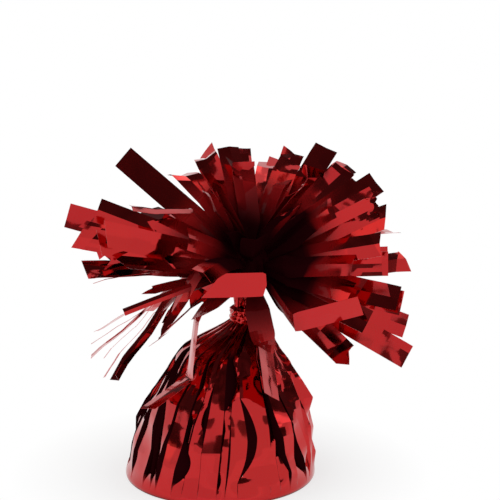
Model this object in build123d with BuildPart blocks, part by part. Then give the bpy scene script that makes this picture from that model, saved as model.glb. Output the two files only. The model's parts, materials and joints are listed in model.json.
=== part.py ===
from build123d import *

import math
import os
from typing import NamedTuple

# Balloon weight: a cast core wrapped in pleated metallised film, which is gathered
# and tied above the core and bursts into a fringe of film strips over the tie.
# Millimetres. The origin is the centre of the base on the table, +Z is up,
# +X is the side that the neck leans to, and -Y is the front.

# Film: the real sheet is about 0.03 mm thick, and thicker skins stand for it
FILM = 0.3
WRAP_SKIN = 0.6

# Body of the wrap: each course rises from the one below to its own ridge radius
FOOT_RADIUS = 30.2
BASE_RADIUS = 31.0
SKIRT_RADIUS = 28.7
FLANK_RADIUS = 25.5
SHOULDER_RADIUS = 20.3
SLOPE_RADIUS = 16.0
GATHER_RADIUS = 9.0
NECK_RADIUS = 4.2
FOOT_RISE = 1.5
SKIRT_RISE = 15.5
FLANK_RISE = 9.0
SHOULDER_RISE = 9.0
SLOPE_RISE = 8.0
GATHER_RISE = 6.0
NECK_RISE = 3.5

# Lean: how far off centre the slope and the neck stand
SLOPE_LEAN = 3.5
NECK_LEAN = 8.8

# Pleats: none on the smooth foot, full grown a little higher, and pressed together at the neck.
# Each tuck closes to a slit, and the one flap stands off the body like a tent.
SMOOTH_FOOT = 3.5
PLEAT_GROWTH = 9.0
PRESS_Z = 38.0
PRESS_RISE = 12.0
PRESSED_SHARE = 0.4
RIDGE_RISE = 0.2
SLIT_TURN = 3.0
LEAST_TURN = 1.2
SLANT_RISE = 10.0
FLAP_ABOVE = 22.0
FLAP_BELOW = 6.0
PLEAT_LEVELS = (9.0, 21.5, 30.5)

# Cast core, a loose fit in the wrap
CORE_GAP = 0.3

# Tie round the neck
TIE_HEIGHT = 4.0
TIE_THICKNESS = 1.0
TIE_GAP = 0.05
TIE_EDGE = 0.3
NECK_ABOVE_TIE = 0.5

# Gathered roots of the fringe: a rounded foot rocks in a dish on top of the neck
ROOTS_FOOT_RADIUS = 3.6
ROOTS_FOOT_LIFT = 1.5
SWAY_GAP = 0.3
STEM_FOOT_RADIUS = 3.3
STEM_TOP_RADIUS = 5.0
STEM_HEIGHT = 11.5
BURST_LEAN = 1.2
KNOT_RADIUS = 8.0

# Fringe strips: each widens from the knot by the fan angle, up to its cut width
STRIP_WIDTH = 8.0
FAN_ANGLE = 9.5
ROOT_GAP = 0.3
CURL_AT = (0.36, 0.57, 0.78)


class Course(NamedTuple):
    """One level of the wrap: its height, its radius and how far its pleats have grown."""

    height: float
    radius: float
    growth: float


class Pleat(NamedTuple):
    """A pleat of the wrap: a ridge, and a tuck from it down to a valley on one side.

    The angle is the ridge's, from the front towards the right, at the height where the
    tuck is widest. The tuck closes over its reach above and below that height. The slant
    turns the ridge by so many degrees per rise, the bow bends its middle aside by so many
    degrees, and the flap stands it off the body.
    """

    angle: float
    width: float
    height: float
    reach: float
    depth: float
    leftward: bool = False
    slant: float = 0
    bow: float = 0
    flap: float = 0


class Strip(NamedTuple):
    """A fringe strip: its heading from the knot, its length, its roll and its bends.

    The azimuth turns from +X towards +Y. The roll turns the strip about its own length,
    and 0 has its face up. Curl is a bend shared by three folds on its outer part, and
    folds gives other bends, each as a distance from the root and the turn made there.
    """

    azimuth: float
    elevation: float
    length: float
    roll: float = 0
    curl: float = 0
    folds: tuple = ()


FOOT_Z = 0.0
BASE_Z = FOOT_Z + FOOT_RISE
SKIRT_Z = BASE_Z + SKIRT_RISE
FLANK_Z = SKIRT_Z + FLANK_RISE
SHOULDER_Z = FLANK_Z + SHOULDER_RISE
SLOPE_Z = SHOULDER_Z + SLOPE_RISE
GATHER_Z = SLOPE_Z + GATHER_RISE
NECK_Z = GATHER_Z + NECK_RISE
NECK_TOP = NECK_Z + TIE_HEIGHT + NECK_ABOVE_TIE

BODY = [
    (FOOT_Z, FOOT_RADIUS),
    (BASE_Z, BASE_RADIUS),
    (SKIRT_Z, SKIRT_RADIUS),
    (FLANK_Z, FLANK_RADIUS),
    (SHOULDER_Z, SHOULDER_RADIUS),
    (SLOPE_Z, SLOPE_RADIUS),
    (GATHER_Z, GATHER_RADIUS),
    (NECK_Z, NECK_RADIUS),
]

PLEATS = [
    Pleat(-178, 2.2, 19, 12, 1.6),
    Pleat(-165, 4.4, 27, 12, 2.0, slant=2),
    Pleat(-149, 1.4, 14, 9, 1.2, leftward=True),
    Pleat(-141, 2.6, 24, 13, 1.8),
    Pleat(-129, 4.0, 13, 8, 2.0, slant=-3),
    Pleat(-115, 1.6, 32, 10, 1.4, leftward=True),
    Pleat(-107, 3.4, 21, 12, 1.8),
    Pleat(-95, 1.4, 28, 9, 1.2),
    Pleat(-82, 2.4, 20, 12, 1.6, leftward=True, slant=-4),
    Pleat(-64, 3.2, 27, 13, 2.0, slant=-8),
    Pleat(-42, 1.2, 13, 10, 1.0),
    Pleat(-29, 4.6, 12, 7, 2.0, slant=2),
    Pleat(-13, 1.6, 28, 9, 1.4, leftward=True),
    Pleat(-3, 3.4, 38, 9, 1.8, slant=-1),
    Pleat(10, 4.2, 20, 13, 2.0, bow=5.5),
    Pleat(31, 1.4, 25, 9, 1.2),
    Pleat(41, 2.4, 22, 14, 1.8, leftward=True, slant=-4),
    Pleat(57, 2.8, 15, 10, 1.8, leftward=True, slant=-8),
    Pleat(70, 1.4, 26, 15, 1.2),
    Pleat(84, 5.0, 27, 10, 1.2, flap=3.6),
    Pleat(109, 2.4, 24, 11, 1.6),
    Pleat(121, 3.8, 16, 10, 2.0, slant=3),
    Pleat(135, 1.4, 30, 9, 1.2, leftward=True),
    Pleat(145, 4.2, 22, 12, 2.0),
    Pleat(160, 1.6, 12, 8, 1.4, leftward=True),
    Pleat(168, 3.0, 34, 10, 1.8, slant=-2),
]
DEEPEST_PLEAT = max(pleat.depth for pleat in PLEATS)

SWAY_CENTRE = Vector(NECK_LEAN, 0, NECK_TOP + ROOTS_FOOT_LIFT)
BURST_CENTRE = SWAY_CENTRE + Vector(BURST_LEAN, 0, STEM_HEIGHT)
ROOT_RADIUS = KNOT_RADIUS + ROOT_GAP

SPRAYS = {
    "left": [
        Strip(164.6, 12, 54.2, -70, 8),
        Strip(152, 3.5, 50, -60, 6),
        Strip(186, 12, 48, -75, 8),
        Strip(176.2, -1, 46.2, -62, 6),
    ],
    "left_front": [
        Strip(195, 29, 30, -30),
        Strip(199, 47, 40, -8, folds=((20, 44),)),
        Strip(210, 19, 46, -78, 8),
        Strip(224, 17, 30, -80, 6),
    ],
    "left_droop": [
        Strip(193, -20.5, 50, folds=((18, 28),)),
        Strip(180, -15, 53, folds=((22, 18),)),
        Strip(166, -24, 50, 8, 10),
        Strip(215, -7, 38, -60, 30),
        Strip(203, -7.5, 30, -30, 8),
    ],
    "upper_left": [
        Strip(141.9, 28, 52.4, -57),
        Strip(125, 51, 38, -30, 30),
        Strip(152, 54, 34, -30, 40),
    ],
    "top": [
        Strip(110.5, 30, 48.2, -20, 5),
        Strip(93.8, 24, 56.5, 0, 4),
        Strip(81.6, 30, 46.3, 5, 4),
        Strip(69.8, 36, 39.5, 8, 4),
        Strip(57.6, 30, 46.6, 15),
        Strip(52, 24, 49.8, 18, 6),
    ],
    "upper_right": [
        Strip(26.4, 26, 42.2, 55, 10),
        Strip(6, 29, 40, 65, 6),
        Strip(352, 27, 40, 70, 10),
    ],
    "right": [
        Strip(328, 18, 40, 62, 8),
        Strip(1, 3, 43, 70, 6),
        Strip(340, -6, 41, 64, 6),
        Strip(314, 13, 32, 80, 6),
    ],
    "right_droop": [
        Strip(8, -23, 48, 70, 6),
        Strip(351, -28, 50, 62, 10),
        Strip(324, -31, 42, -120, 25),
    ],
    "front": [
        Strip(297.4, -20.4, 44.5, 112.6, folds=((23, 70),)),
        Strip(290, -8, 26, -96, folds=((6.6, 105),)),
        Strip(273, 30, 26, 15, 25),
        Strip(252, 24, 30, -25, 30),
    ],
    "tail": [Strip(281, -44, 38, 16, folds=((8, 32), (18, -34)))],
    "hanging": [Strip(226, -25, 58, folds=((19, 55), (38.5, -64)))],
    "back": [
        Strip(127, 8, 50, 0, 15),
        Strip(108, 4, 50, 0, 15),
        Strip(89, 8, 50, 0, 15),
        Strip(70, 4, 50, 0, 15),
        Strip(51, 8, 50, 0, 15),
        Strip(32, 4, 48, 0, 15),
    ],
    "back_low": [
        Strip(133, -14, 46, 0, 20),
        Strip(114, -18, 48, 0, 20),
        Strip(95, -14, 48, 0, 20),
        Strip(76, -18, 48, 0, 20),
        Strip(57, -14, 48, 0, 20),
        Strip(38, -18, 46, 0, 20),
    ],
    "crown": [
        Strip(60, 58, 34, 0, 10),
        Strip(112, 70, 32, 0, 10),
        Strip(215, 64, 30, 0, 10),
        Strip(330, 56, 32, 0, 10),
    ],
}


def lean(height):
    """How far towards +X the body's middle lies at a height."""
    if height <= SLOPE_Z:
        return SLOPE_LEAN * height / SLOPE_Z
    above = (height - SLOPE_Z) / (NECK_Z - SLOPE_Z)
    return SLOPE_LEAN + (NECK_LEAN - SLOPE_LEAN) * above


def eased(share):
    """Smooth step from 0 to 1."""
    held = min(max(share, 0.0), 1.0)
    return held * held * (3 - 2 * held)


def body_radius(height):
    """Radius of the body at a height, straight from each course to the next."""
    for (low, lower), (high, upper) in zip(BODY, BODY[1:]):
        if height <= high:
            return lower + (upper - lower) * (height - low) / (high - low)
    return NECK_RADIUS


def pleat_growth(height):
    """How far the pleats have grown at a height, from 0 to 1."""
    pressed = (1 - PRESSED_SHARE) * eased((height - PRESS_Z) / PRESS_RISE)
    return eased((height - SMOOTH_FOOT) / PLEAT_GROWTH) * (1 - pressed)


def course(height):
    """The wrap's course at a height below the neck."""
    return Course(height, body_radius(height), pleat_growth(height))


def flap_lift(pleat, height):
    """How far a pleat's flap stands off the body at a height."""
    fall = FLAP_ABOVE if height > pleat.height else FLAP_BELOW
    return pleat.flap * max(0.0, 1 - abs(height - pleat.height) / fall)


def pleat_lines(pleat, level):
    """Angles and radii of a pleat's two lines at one course, in order round the wrap."""
    above = min(max(level.height - pleat.height, -pleat.reach), pleat.reach)
    gape = 1 - (above / pleat.reach) ** 2
    widest = math.degrees(pleat.width / body_radius(pleat.height))
    tuck = SLIT_TURN + (widest - SLIT_TURN) * gape
    ridge = pleat.angle + pleat.slant * above / SLANT_RISE + pleat.bow * gape
    top = level.radius + level.growth * (RIDGE_RISE + flap_lift(pleat, level.height))
    low = level.radius - level.growth * pleat.depth * (1 + gape) / 2
    if pleat.leftward:
        return [(ridge - tuck, low), (ridge, top)]
    return [(ridge, top), (ridge + tuck, low)]


def pleated_outline(level, inset):
    """Corners of a pleated section: the two lines of each pleat, then the middle of the face after it."""
    lines = []
    for pleat in PLEATS:
        for angle, radius in pleat_lines(pleat, level):
            after = lines[-1][0] + LEAST_TURN if lines else angle
            lines.append((max(angle, after), radius))
    corners = []
    for k, (angle, radius) in enumerate(lines):
        corners.append((angle, radius))
        if k % 2:
            turns, following = divmod(k + 1, len(lines))
            next_angle, next_radius = lines[following]
            corners.append(((angle + next_angle + 360 * turns) / 2, (radius + next_radius) / 2))
    middle = lean(level.height)
    turned = [(math.radians(angle), radius - inset) for angle, radius in corners]
    return [(middle + radius * math.sin(turn), -radius * math.cos(turn)) for turn, radius in turned]


def pleated_section(level, inset):
    """Sketch of one course of the wrap, set in from its outside."""
    with BuildSketch(Plane.XY.offset(level.height)) as section:
        with BuildLine():
            Polyline(*pleated_outline(level, inset), close=True)
        make_face()
    return section.sketch


def round_section(height, centre_x, radius):
    """Sketch of a circle at a height."""
    with BuildSketch(Plane.XY.offset(height)) as section:
        with Locations((centre_x, 0)):
            Circle(radius)
    return section.sketch


def core_section(level):
    """Sketch of the core at one course, clear of the wrap's valleys."""
    radius = level.radius - level.growth * DEEPEST_PLEAT - WRAP_SKIN - CORE_GAP
    return round_section(level.height, lean(level.height), radius)


def strip_face(strip):
    """The plane of a strip's face at its root: x along it, y across it, z off its face."""
    along = Vector(1, 0, 0).rotate(Axis.Y, -strip.elevation).rotate(Axis.Z, strip.azimuth)
    facing = Vector(0, 0, 1).rotate(Axis.Y, -strip.elevation).rotate(Axis.Z, strip.azimuth)
    return Plane(BURST_CENTRE, x_dir=along, z_dir=facing.rotate(Axis((0, 0, 0), along), strip.roll))


def strip_folds(strip):
    """All bends of a strip, as distances from its root and turns."""
    if strip.curl:
        return [(strip.length * share, strip.curl / len(CURL_AT)) for share in CURL_AT]
    return list(strip.folds)


def strip_outline(strip):
    """Side outline of a folded strip, half the film to each side of its path."""
    heading = 0.0
    headings = []
    path = [(ROOT_RADIUS, 0.0)]
    done = 0.0
    for distance, turn in [*strip_folds(strip), (strip.length, 0)]:
        x, y = path[-1]
        run = distance - done
        path.append((x + run * math.cos(heading), y - run * math.sin(heading)))
        headings.append(heading)
        heading += math.radians(turn)
        done = distance
    upper = []
    lower = []
    for k, (x, y) in enumerate(path):
        before = headings[max(k - 1, 0)]
        after = headings[min(k, len(headings) - 1)]
        middle = (before + after) / 2
        reach = FILM / 2 / math.cos((after - before) / 2)
        upper.append((x + reach * math.sin(middle), y + reach * math.cos(middle)))
        lower.append((x - reach * math.sin(middle), y - reach * math.cos(middle)))
    return upper + lower[::-1]


def strip_fan(strip):
    """Plan outline of a strip: the fan from the knot's centre, then the cut width."""
    half_width = STRIP_WIDTH / 2
    full_reach = half_width / math.tan(math.radians(FAN_ANGLE))
    far = max(full_reach, ROOT_RADIUS + strip.length) + STRIP_WIDTH
    return [(0, 0), (full_reach, half_width), (far, half_width), (far, -half_width), (full_reach, -half_width)]


LOWER_HEIGHTS = sorted([BASE_Z, SKIRT_Z, FLANK_Z, SHOULDER_Z, SLOPE_Z, *PLEAT_LEVELS])
LOWER_COURSES = [course(height) for height in LOWER_HEIGHTS]
GATHER = course(GATHER_Z)
OUTER_COURSES = [course(FOOT_Z), *LOWER_COURSES, GATHER, Course(NECK_Z, NECK_RADIUS, 0)]
INNER_FOOT = Course(FOOT_Z + WRAP_SKIN, FOOT_RADIUS, 0)

os.makedirs("parts", exist_ok=True)

# Cast core, which rests on the floor of the wrap
with BuildPart() as weight_core:
    loft([core_section(level) for level in [INNER_FOOT, *LOWER_COURSES]], ruled=True)
weight_core.part.label = "weight_core"
export_step(weight_core.part, "parts/weight_core.step")

# Film wrap: a pleated shell with a closed floor and a solid gathered neck
with BuildPart() as foil_wrap:
    loft([pleated_section(level, 0) for level in OUTER_COURSES], ruled=True)
    extrude(foil_wrap.faces().sort_by(Axis.Z)[-1], amount=NECK_TOP - NECK_Z)
    hollow = [pleated_section(level, WRAP_SKIN) for level in [INNER_FOOT, *LOWER_COURSES, GATHER]]
    loft(hollow, ruled=True, mode=Mode.SUBTRACT)
    with Locations(SWAY_CENTRE):
        Sphere(ROOTS_FOOT_RADIUS + SWAY_GAP, mode=Mode.SUBTRACT)
foil_wrap.part.label = "foil_wrap"
export_step(foil_wrap.part, "parts/foil_wrap.step")

# Tie: a flat band round the neck
with BuildPart() as neck_tie:
    with BuildSketch(Plane.XY.offset(NECK_Z)):
        with Locations((NECK_LEAN, 0)):
            Circle(NECK_RADIUS + TIE_GAP + TIE_THICKNESS)
            Circle(NECK_RADIUS + TIE_GAP, mode=Mode.SUBTRACT)
    extrude(amount=TIE_HEIGHT)
    chamfer(neck_tie.edges().filter_by(GeomType.CIRCLE).group_by(SortBy.RADIUS)[-1], TIE_EDGE)
neck_tie.part.label = "neck_tie"
export_step(neck_tie.part, "parts/neck_tie.step")

# Gathered roots of the fringe: the rounded foot, the stem and the knot
with BuildPart() as fringe_roots:
    stem_foot = round_section(SWAY_CENTRE.Z, SWAY_CENTRE.X, STEM_FOOT_RADIUS)
    stem_top = round_section(BURST_CENTRE.Z, BURST_CENTRE.X, STEM_TOP_RADIUS)
    loft([stem_foot, stem_top], ruled=True)
    with Locations(SWAY_CENTRE):
        Sphere(ROOTS_FOOT_RADIUS)
    with Locations(BURST_CENTRE):
        Sphere(KNOT_RADIUS)
fringe_roots.part.label = "fringe_roots"
export_step(fringe_roots.part, "parts/fringe_roots.step")

# Fringe strips, in sprays that flex together
for spray, strips in SPRAYS.items():
    for number, strip in enumerate(strips, start=1):
        face = strip_face(strip)
        with BuildPart() as fringe_strip:
            with BuildSketch(Plane(face.origin, x_dir=face.x_dir, z_dir=-face.y_dir)):
                with BuildLine():
                    Polyline(*strip_outline(strip), close=True)
                make_face()
            extrude(amount=STRIP_WIDTH / 2, both=True)
            with BuildSketch(face):
                with BuildLine():
                    Polyline(*strip_fan(strip), close=True)
                make_face()
            extrude(amount=strip.length, both=True, mode=Mode.INTERSECT)
        fringe_strip.part.label = f"{spray}_strip_{number}"
        export_step(fringe_strip.part, f"parts/{spray}_strip_{number}.step")
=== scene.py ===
"""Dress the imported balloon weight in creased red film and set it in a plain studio.

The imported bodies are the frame. The cast core stays as it is, inside the film. A pleated wrap, a wound tie,
the crushed roots and a burst of film strips stand for the plain solids. Metres, unless a name says otherwise.
"""

import json
import logging
import math
from dataclasses import dataclass, field, replace
from enum import Enum

import bpy
import numpy as np
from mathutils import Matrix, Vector

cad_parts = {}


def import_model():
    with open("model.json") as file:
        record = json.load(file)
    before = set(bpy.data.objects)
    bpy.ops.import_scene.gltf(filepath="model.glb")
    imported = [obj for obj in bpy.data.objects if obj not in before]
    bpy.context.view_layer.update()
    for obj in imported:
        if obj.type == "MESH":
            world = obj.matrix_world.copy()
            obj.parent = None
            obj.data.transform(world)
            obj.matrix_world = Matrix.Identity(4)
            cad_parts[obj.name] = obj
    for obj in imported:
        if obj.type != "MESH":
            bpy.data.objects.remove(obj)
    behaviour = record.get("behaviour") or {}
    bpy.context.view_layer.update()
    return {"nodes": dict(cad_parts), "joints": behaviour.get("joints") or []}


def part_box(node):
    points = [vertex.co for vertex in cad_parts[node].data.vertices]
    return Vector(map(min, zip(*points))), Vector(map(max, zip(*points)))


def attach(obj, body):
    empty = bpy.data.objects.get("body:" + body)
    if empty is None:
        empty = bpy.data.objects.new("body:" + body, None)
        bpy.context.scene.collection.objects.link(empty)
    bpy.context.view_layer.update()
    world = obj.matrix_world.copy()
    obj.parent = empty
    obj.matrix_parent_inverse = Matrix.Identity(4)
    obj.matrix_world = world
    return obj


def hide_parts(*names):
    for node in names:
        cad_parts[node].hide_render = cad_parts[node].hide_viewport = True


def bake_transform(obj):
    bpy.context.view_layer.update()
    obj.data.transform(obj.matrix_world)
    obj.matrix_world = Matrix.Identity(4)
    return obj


LOG = logging.getLogger("balloon_weight")
MM = 0.001
# Name of the mesh attribute of painted shade: from 0 to 1, how far the film is painted nearly black, in place
# of the shade in its folds and round the burst's knot.
PAINTED_SHADE = "tuck"
WHITE = (1.0, 1.0, 1.0, 1.0)
PHASE = 6.3
NUDGE = 1e-4
Colour = tuple[float, float, float]


class Slot(str, Enum):
    """Names for the film pieces' material slots, which no piece here is given."""

    FILM = "red_film"
    TIE = "red_tie"


class Body(str, Enum):
    """Bodies for the film pieces, apart from the sprays: the wrap and the tie ride on the weight, and nothing
    on the burst.
    """

    WEIGHT = "wrapped_weight"
    BURST = "burst"


class TipCut(Enum):
    """How a strip ends: cut square, askew or on a long bevel, nipped to a point or torn into teeth."""

    SQUARE = 0.0
    ASKEW = 1.0
    ASKEW_BACK = -1.0
    BEVEL = -2.0
    POINT = 4.0
    TEETH = 5.0


class Value:
    """A socket of a node tree, on which Python's arithmetic adds Math nodes."""

    def __init__(self, shader: "Shader", socket: bpy.types.NodeSocket) -> None:
        """Wrap a socket of a shader's tree."""
        self.shader = shader
        self.socket = socket

    def math(self, operation: str, *others: "Value | float") -> "Value":
        """Add a Math node that starts from this value.

        Args:
            operation: The Math node's operation.
            others: The values of its other sockets.

        Returns:
            The Math node's result.
        """
        inputs = dict(enumerate((self, *others)))
        return self.shader.node("ShaderNodeMath", {"operation": operation}, inputs)

    def __add__(self, other: "Value | float") -> "Value":
        """Add."""
        return self.math("ADD", other)

    def __mul__(self, other: "Value | float") -> "Value":
        """Multiply."""
        return self.math("MULTIPLY", other)

    def __sub__(self, other: "Value | float") -> "Value":
        """Subtract."""
        return self.math("SUBTRACT", other)

    def __rsub__(self, other: float) -> "Value":
        """Subtract this from a number."""
        return (self * -1.0) + other

    __radd__ = __add__
    __rmul__ = __mul__


class Shader:
    """A node tree under construction."""

    def __init__(self, owner: bpy.types.Material | bpy.types.World) -> None:
        """Clear the owner's tree."""
        owner.use_nodes = True
        self.tree = owner.node_tree
        self.tree.nodes.clear()

    def node(
        self,
        kind: str,
        settings: dict | None = None,
        inputs: dict | None = None,
        output: str | int = 0,
    ) -> Value:
        """Add a node.

        Args:
            kind: The node's type.
            settings: Its properties, set before its sockets.
            inputs: Values or links of its sockets, by name or number.
            output: The output to hand back, by name or number.

        Returns:
            That output.
        """
        node = self.tree.nodes.new(kind)
        for name, setting in (settings or {}).items():
            setattr(node, name, setting)
        for key, value in (inputs or {}).items():
            if isinstance(value, Value):
                self.tree.links.new(value.socket, node.inputs[key])
            else:
                node.inputs[key].default_value = value
        return Value(self, node.outputs[output]) if node.outputs else None

    def place(self) -> Value:
        """Object coordinates."""
        return self.node("ShaderNodeTexCoord", output="Object")

    def noise(self, place: Value, scale: float, detail: float, **settings: str) -> Value:
        """Noise at a scale per metre, from 0 to 1."""
        inputs = {"Vector": place, "Scale": scale, "Detail": detail}
        return self.node("ShaderNodeTexNoise", settings, inputs, "Fac")

    def mix(self, share: Value, low: Colour | Value, high: Colour) -> Value:
        """Mix two colours."""
        start = low if isinstance(low, Value) else (*low, 1.0)
        inputs = {0: share, 6: start, 7: (*high, 1.0)}
        return self.node("ShaderNodeMix", {"data_type": "RGBA"}, inputs, 2)

    def surface(self, shader: Value) -> None:
        """Send a shader to the material's surface."""
        self.node("ShaderNodeOutputMaterial", inputs={"Surface": shader})


@dataclass(frozen=True)
class FilmFinish:
    """Metallised film: a tinted mirror under a clear lacquer, with soft waves and fine creases.

    Where the mesh's tuck attribute is 1, painted shade turns the film into a rough, unlacquered, nearly
    black non-metal, standing in for the darkness deep in its folds and round the burst's knot.
    Scales are per metre and heights in metres.
    """

    name: str
    crimson: Colour = (0.47, 0.006, 0.012)
    scarlet: Colour = (0.53, 0.016, 0.012)
    # Colour of the painted shade.
    deep: Colour = (0.016, 0.001, 0.002)
    tint_scale: float = 45.0
    smooth: float = 0.05
    dull: float = 0.12
    # Extra roughness under the painted shade.
    tucked: float = 0.6
    smudge_scale: float = 160.0
    lacquer: float = 0.4
    lacquer_roughness: float = 0.04
    wave_scale: float = 110.0
    wave_height: float = 0.00004
    crease_scale: float = 420.0
    crease_height: float = 0.000006

    def material(self) -> bpy.types.Material:
        """Make the film's material."""
        made = bpy.data.materials.new(self.name)
        shader = Shader(made)
        place = shader.place()
        # Painted shade: the tuck attribute darkens the base colour towards deep and takes away metal and
        # lacquer.
        tuck = shader.node("ShaderNodeAttribute", {"attribute_name": PAINTED_SHADE}, output="Fac")
        tint = shader.mix(shader.noise(place, self.tint_scale, 2.0), self.crimson, self.scarlet)
        smudge = shader.noise(place, self.smudge_scale, 3.0)
        waves = shader.noise(place, self.wave_scale, 1.0)
        creases = shader.noise(place, self.crease_scale, 3.0, noise_type="RIDGED_MULTIFRACTAL")
        height = waves * self.wave_height + creases * self.crease_height
        bump = shader.node("ShaderNodeBump", inputs={"Height": height, "Distance": 1.0})
        film = shader.node(
            "ShaderNodeBsdfPrincipled",
            inputs={
                "Base Color": shader.mix(tuck, tint, self.deep),
                "Metallic": 1.0 - tuck,
                "Roughness": smudge * (self.dull - self.smooth) + self.smooth + tuck * self.tucked,
                "Coat Weight": (1.0 - tuck) * self.lacquer,
                "Coat Roughness": self.lacquer_roughness,
                "Specular IOR Level": 0.0,
                "Normal": bump,
            },
        )
        shader.surface(film)
        return made


@dataclass(frozen=True)
class CementFinish:
    """Cast cement: pale grey, blotched and pitted."""

    name: str = "cast_cement_finish"
    pale: Colour = (0.66, 0.64, 0.60)
    damp: Colour = (0.50, 0.48, 0.45)
    blotch_scale: float = 90.0
    grain_scale: float = 900.0
    grain_height: float = 0.00025
    roughness: float = 0.9

    def material(self) -> bpy.types.Material:
        """Make the cement's material."""
        made = bpy.data.materials.new(self.name)
        shader = Shader(made)
        place = shader.place()
        grain = shader.noise(place, self.grain_scale, 6.0)
        bump = shader.node("ShaderNodeBump", inputs={"Height": grain * self.grain_height, "Distance": 1.0})
        cement = shader.node(
            "ShaderNodeBsdfPrincipled",
            inputs={
                "Base Color": shader.mix(shader.noise(place, self.blotch_scale, 4.0), self.damp, self.pale),
                "Roughness": self.roughness,
                "Normal": bump,
            },
        )
        shader.surface(cement)
        return made


class Bench:
    """The modelling bench: primitives, mesh points and modifiers, through Blender's own operators."""

    @staticmethod
    def pick(*pieces: bpy.types.Object) -> None:
        """Select these pieces and nothing else, with the first one active."""
        bpy.ops.object.select_all(action="DESELECT")
        for piece in pieces:
            piece.select_set(True)
        if pieces:
            bpy.context.view_layer.objects.active = pieces[0]

    @classmethod
    def grid(cls, name: str, columns: int, rows: int) -> bpy.types.Object:
        """Add a flat grid from -1 to 1 each way.

        Args:
            name: The piece's name.
            columns: Faces along X.
            rows: Faces along Y.

        Returns:
            The grid, selected and active.
        """
        cls.pick()
        bpy.ops.mesh.primitive_grid_add(x_subdivisions=columns, y_subdivisions=rows, size=2.0)
        piece = bpy.context.object
        cls.name(piece, name)
        return piece

    @staticmethod
    def name(piece: bpy.types.Object, name: str) -> None:
        """Name a piece and its mesh."""
        piece.name = name
        piece.data.name = name

    @staticmethod
    def shares(piece: bpy.types.Object, faces: bool = False) -> tuple[np.ndarray, np.ndarray]:
        """How far along X and Y each point, or the middle of each face, of a grid lies, from 0 to 1."""
        parts, what = (piece.data.polygons, "center") if faces else (piece.data.vertices, "co")
        flat = np.empty(3 * len(parts), dtype=np.float32)
        parts.foreach_get(what, flat)
        points = flat.reshape(-1, 3).astype(float)
        return (points[:, 0] + 1.0) / 2.0, (points[:, 1] + 1.0) / 2.0

    @staticmethod
    def move(piece: bpy.types.Object, points: np.ndarray) -> None:
        """Move each point of a mesh to a new place."""
        piece.data.vertices.foreach_set("co", points.astype(np.float32).ravel())
        piece.data.update()

    @staticmethod
    def mark(piece: bpy.types.Object, tuck: np.ndarray, domain: str) -> None:
        """Note on each point or face how much painted shade it takes, from 0 to 1."""
        layer = piece.data.attributes.new(PAINTED_SHADE, "FLOAT", domain)
        layer.data.foreach_set("value", tuck.astype(np.float32))

    @classmethod
    def weld(cls, piece: bpy.types.Object, gap: float = 0.00001) -> None:
        """Close the seams and poles of a rolled grid, and turn its faces outwards."""
        cls.pick(piece)
        bpy.ops.object.mode_set(mode="EDIT")
        bpy.ops.mesh.select_all(action="SELECT")
        bpy.ops.mesh.remove_doubles(threshold=gap)
        bpy.ops.mesh.normals_make_consistent(inside=False)
        bpy.ops.object.mode_set(mode="OBJECT")

    @classmethod
    def finish(cls, piece: bpy.types.Object, thickness: float, offset: float, crease: float) -> None:
        """Give film its thickness, and keep its creases crisp.

        Args:
            piece: The sheet.
            thickness: The film's thickness, or 0 for a solid.
            offset: Which side the thickness goes to, from -1 inwards to 1 outwards.
            crease: The angle in degrees above which an edge stays sharp.
        """
        cls.pick(piece)
        if thickness:
            solidify = piece.modifiers.new("film", "SOLIDIFY")
            solidify.thickness = thickness
            solidify.offset = offset
            bpy.ops.object.modifier_apply(modifier=solidify.name)
        bpy.ops.object.shade_smooth_by_angle(angle=math.radians(crease))

    @classmethod
    def join(cls, name: str, pieces: list[bpy.types.Object]) -> bpy.types.Object:
        """Join pieces into one."""
        cls.pick(*pieces)
        bpy.ops.object.join()
        cls.name(pieces[0], name)
        return pieces[0]


class CreaseField:
    """Heights from -1 to 1 that are level on each triangle of an uneven lattice, as in crumpled film."""

    SKEW = (math.sqrt(3.0) - 1.0) / 2.0
    CELLS = 64
    WARP_SCALE = 0.37

    def __init__(self, seed: int, warp: float = 0.8) -> None:
        """Draw the lattice's heights.

        Args:
            seed: The draw's seed.
            warp: How far the lattice is pushed about, in cells.
        """
        draw = np.random.default_rng(seed)
        self.heights = draw.uniform(-1.0, 1.0, (3, self.CELLS, self.CELLS))
        self.warp = warp

    def layer(self, layer: int, x: np.ndarray, y: np.ndarray) -> np.ndarray:
        """One layer of the lattice, at places in cells."""
        skew = (x + y) * self.SKEW
        i, j = np.floor(x + skew).astype(int), np.floor(y + skew).astype(int)
        a, b = x + skew - i, y + skew - j
        table = self.heights[layer]
        first = table[i % self.CELLS, j % self.CELLS]
        last = table[(i + 1) % self.CELLS, (j + 1) % self.CELLS]
        east = table[(i + 1) % self.CELLS, j % self.CELLS]
        north = table[i % self.CELLS, (j + 1) % self.CELLS]
        below = a > b
        middle = np.where(below, east, north)
        return first * (1.0 - np.maximum(a, b)) + middle * np.abs(a - b) + last * np.minimum(a, b)

    def __call__(self, x: np.ndarray, y: np.ndarray) -> np.ndarray:
        """Heights at places given in cells."""
        east = self.layer(1, x * self.WARP_SCALE, y * self.WARP_SCALE) * self.warp
        north = self.layer(2, x * self.WARP_SCALE, y * self.WARP_SCALE) * self.warp
        return self.layer(0, x + east, y + north)


def ease(share: np.ndarray | float) -> np.ndarray:
    """Smooth step from 0 to 1."""
    held = np.clip(share, 0.0, 1.0)
    return held * held * (3.0 - 2.0 * held)


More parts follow.
